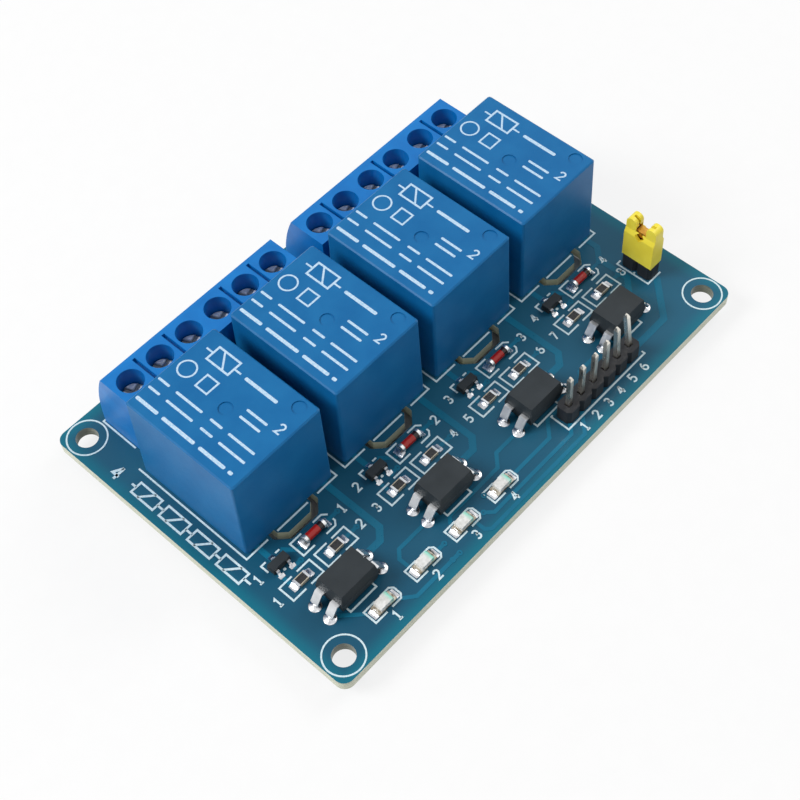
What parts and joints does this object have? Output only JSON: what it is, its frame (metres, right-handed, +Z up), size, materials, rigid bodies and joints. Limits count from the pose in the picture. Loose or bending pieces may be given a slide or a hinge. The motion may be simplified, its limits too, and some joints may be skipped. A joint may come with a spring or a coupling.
{
  "type": "relay module board",
  "caption": "Circuit board carrying a row of sealed relays, screw terminal blocks behind them, optocouplers, lamps, a pin header and a jumper in front.",
  "frame": {"origin": "under the middle of the board's outline, level with the tips of the solder tails", "axes": "+X along the board's long side toward the jumper, +Y from the control edge toward the terminal blocks, +Z up"},
  "size_m": [0.078, 0.053, 0.0192],
  "materials": {
    "pcb": "green-blue solder mask on glass fibre",
    "relay_case": "blue moulded case",
    "relay_base": "dark blue moulding",
    "steel": "plated steel",
    "bobbin": "cream moulding",
    "copper": "enamelled copper wire",
    "contact_metal": "copper alloy",
    "terminal_housing": "bright blue moulding",
    "screw_metal": "nickel-plated",
    "header_plastic": "black moulding",
    "pin_metal": "tinned",
    "jumper_plastic": "yellow moulding",
    "chip_plastic": "black epoxy",
    "tinned": "tinned",
    "led_lens": "milky clear resin",
    "led_base": "cream laminate",
    "diode_glass": "red-brown glass",
    "resistor_body": "black coated ceramic",
    "solder": "solder"
  },
  "bodies": {
    "board": {"circuit_board": "pcb", "relay_case_1": "relay_case", "relay_case_2": "relay_case", "relay_case_3": "relay_case", "relay_case_4": "relay_case", "relay_base_1": "relay_base", "relay_base_2": "relay_base", "relay_base_3": "relay_base", "relay_base_4": "relay_base", "relay_yoke_1": "steel", "relay_yoke_2": "steel", "relay_yoke_3": "steel", "relay_yoke_4": "steel", "relay_bobbin_1": "bobbin", "relay_bobbin_2": "bobbin", "relay_bobbin_3": "bobbin", "relay_bobbin_4": "bobbin", "relay_winding_1": "copper", "relay_winding_2": "copper", "relay_winding_3": "copper", "relay_winding_4": "copper", "relay_contacts_1": "contact_metal", "relay_contacts_2": "contact_metal", "relay_contacts_3": "contact_metal", "relay_contacts_4": "contact_metal", "terminal_block_1": "terminal_housing", "terminal_block_2": "terminal_housing", "terminal_block_3": "terminal_housing", "terminal_block_4": "terminal_housing", "terminal_block_5": "terminal_housing", "terminal_screws": "screw_metal", "wire_clamps": "steel", "terminal_contacts": "contact_metal", "input_header_base": "header_plastic", "input_header_pins": "pin_metal", "jumper_header_base": "header_plastic", "jumper_header_pins": "pin_metal", "optocoupler_1": "chip_plastic", "optocoupler_2": "chip_plastic", "optocoupler_3": "chip_plastic", "optocoupler_4": "chip_plastic", "optocoupler_leads": "tinned", "led_lenses": "led_lens", "led_bases": "led_base", "diode_glass": "diode_glass", "diode_caps": "tinned", "transistor_bodies": "chip_plastic", "transistor_leads": "tinned", "resistor_bodies": "resistor_body", "resistor_ends": "tinned", "solder_joints": "solder"},
    "armature_1": {"relay_armature_1": "contact_metal"},
    "armature_2": {"relay_armature_2": "contact_metal"},
    "armature_3": {"relay_armature_3": "contact_metal"},
    "armature_4": {"relay_armature_4": "contact_metal"},
    "jumper": {"jumper_cap": "jumper_plastic", "jumper_contact": "contact_metal"}
  },
  "joints": [
    {"name": "armature_swing_1", "type": "hinge", "parent": "board", "child": "armature_1", "pos_m": [-0.0265, -0.0034, 0.01605], "axis": [1, 0, 0], "range_deg": [-3.5, 0], "stiffness_Nm_per_rad": 0.003, "springref_deg": 17.19},
    {"name": "armature_swing_2", "type": "hinge", "parent": "board", "child": "armature_2", "pos_m": [-0.00872, -0.0034, 0.01605], "axis": [1, 0, 0], "range_deg": [-3.5, 0], "stiffness_Nm_per_rad": 0.003, "springref_deg": 17.19},
    {"name": "armature_swing_3", "type": "hinge", "parent": "board", "child": "armature_3", "pos_m": [0.00906, -0.0034, 0.01605], "axis": [1, 0, 0], "range_deg": [-3.5, 0], "stiffness_Nm_per_rad": 0.003, "springref_deg": 17.19},
    {"name": "armature_swing_4", "type": "hinge", "parent": "board", "child": "armature_4", "pos_m": [0.02684, -0.0034, 0.01605], "axis": [1, 0, 0], "range_deg": [-3.5, 0], "stiffness_Nm_per_rad": 0.003, "springref_deg": 17.19},
    {"name": "jumper_pull", "type": "slide", "parent": "board", "child": "jumper", "axis": [0, 0, 1], "range_m": [0, 0.007]}
  ]
}
